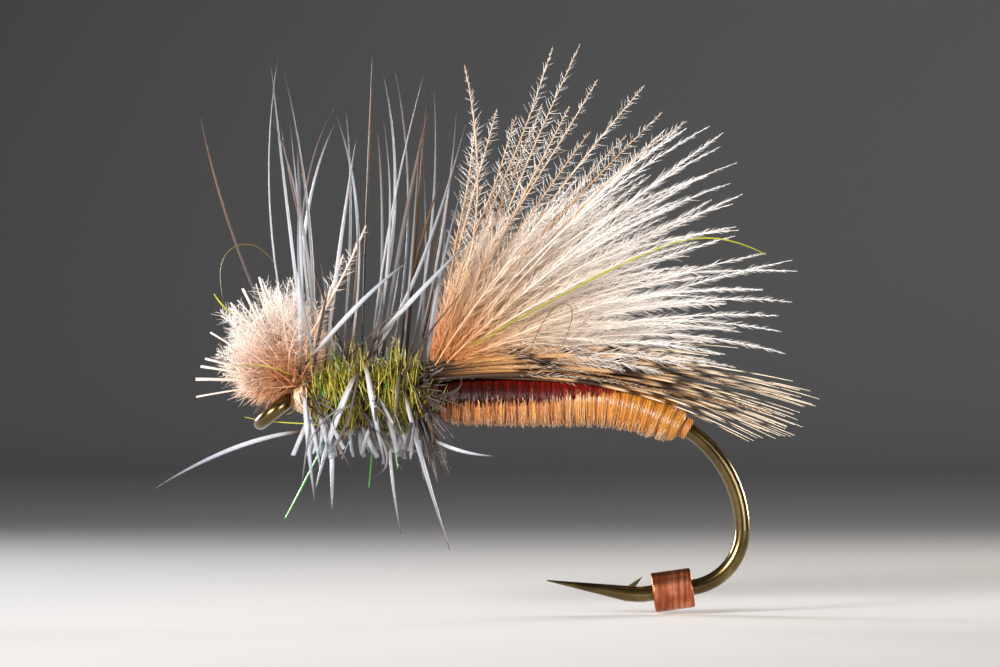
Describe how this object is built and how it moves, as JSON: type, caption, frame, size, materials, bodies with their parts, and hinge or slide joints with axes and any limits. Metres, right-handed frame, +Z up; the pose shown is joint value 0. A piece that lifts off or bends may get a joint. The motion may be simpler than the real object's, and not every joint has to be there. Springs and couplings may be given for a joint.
{
  "type": "dry fly",
  "caption": "Trout dry fly: bronzed down-eyed hook with an upright downy wing, barred underwing, amber body, olive thorax, wound hackle, feather tuft at the head and a loose copper sleeve.",
  "frame": {"origin": "centre of the hook's eye", "axes": "+X along the shank towards the bend, +Z up from the shank towards the wing, -Y the fly's left side"},
  "size_m": [0.0209, 0.0198, 0.0188],
  "materials": {
    "bronzed_wire": "bronzed and lacquered, glossy",
    "copper": "worn, brushed round",
    "tying_thread": "waxed thread, wound",
    "head_cement": "clear varnish, glossy",
    "floss_underbody": "matt",
    "amber_floss": "silky, wound",
    "crimson_floss": "silky, glossy",
    "down_feather": "soft, see-through at the edges",
    "barred_feather": "dull, barred dark brown",
    "hackle_quill": "satin horn",
    "cock_hackle": "shiny, see-through",
    "olive_dubbing": "shaggy, glossy fibres",
    "green_flash": "glossy film"
  },
  "bodies": {
    "fly": {"hook": "bronzed_wire", "thread_base": "tying_thread", "head_thread": "tying_thread", "tail_wrap": "tying_thread", "wing_band": "tying_thread", "tuft_band": "tying_thread", "head_cement": "head_cement", "underbody": "floss_underbody", "abdomen": "amber_floss", "back_strip": "crimson_floss", "wing_butts": "down_feather", "wing_feather_left": "down_feather", "wing_feather_centre": "down_feather", "wing_feather_right": "down_feather", "head_tuft": "down_feather", "underwing_left": "barred_feather", "underwing_right": "barred_feather", "dark_barb": "barred_feather", "hackle_stem": "hackle_quill", "tuft_quills": "hackle_quill", "hackle_front": "cock_hackle", "hackle_middle": "cock_hackle", "hackle_rear": "cock_hackle", "dubbing_front": "olive_dubbing", "dubbing_rear": "olive_dubbing", "flash_strands": "green_flash"},
    "sleeve": {"copper_sleeve": "copper"}
  },
  "joints": [
    {"name": "sleeve_slide", "type": "slide", "parent": "fly", "child": "sleeve", "axis": [0.9903, 0, 0.1392], "range_m": [-0.00024, 0.0003]}
  ]
}
